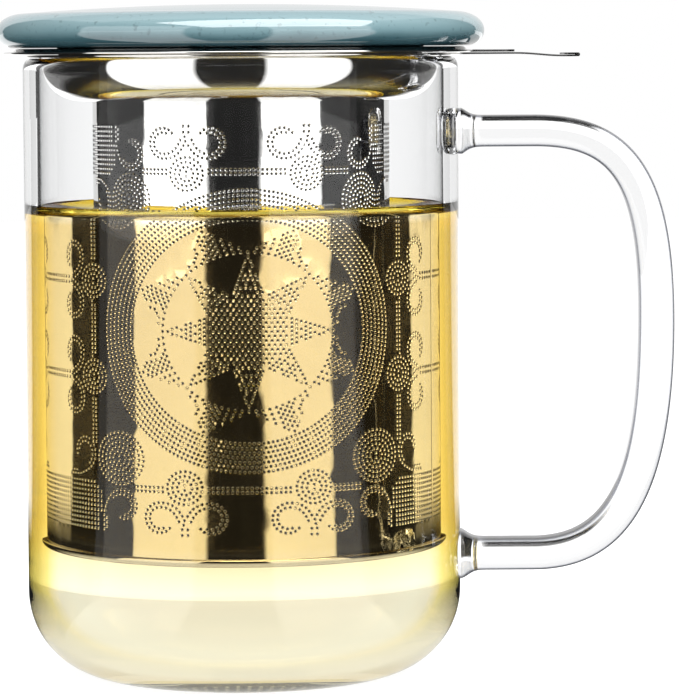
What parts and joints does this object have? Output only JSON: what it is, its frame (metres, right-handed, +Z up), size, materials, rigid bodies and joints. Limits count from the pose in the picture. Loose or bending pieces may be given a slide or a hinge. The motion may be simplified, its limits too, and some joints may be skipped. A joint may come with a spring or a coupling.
{
  "type": "glass tea mug with infuser",
  "caption": "Clear glass tea mug with a glass handle, a lift-out perforated steel infuser hung from its rim, and a domed glazed ceramic lid.",
  "frame": {"origin": "middle of the mug's foot, on the surface it stands on", "axes": "+Z up along the mug's axis, +X towards the handle, +Y to the mug's left side seen from the handle"},
  "size_m": [0.1325, 0.0954, 0.1315],
  "materials": {
    "glass": "polished clear borosilicate",
    "steel": "mirror-polished stainless steel",
    "perforated_steel": "polished stainless sheet with etched holes",
    "glaze": "glossy grey-blue glaze"
  },
  "bodies": {
    "mug": {"mug_body": "glass", "handle": "glass"},
    "infuser": {"infuser_collar": "steel", "infuser_rim": "steel", "infuser_tab": "steel", "basket_wall": "perforated_steel", "basket_base": "perforated_steel"},
    "lid": {"lid": "glaze"}
  },
  "joints": [
    {"name": "infuser_lift", "type": "slide", "parent": "mug", "child": "infuser", "axis": [0, 0, 1], "range_m": [0, 0.11]},
    {"name": "lid_lift", "type": "slide", "parent": "infuser", "child": "lid", "axis": [0, 0, 1], "range_m": [0, 0.05]}
  ]
}
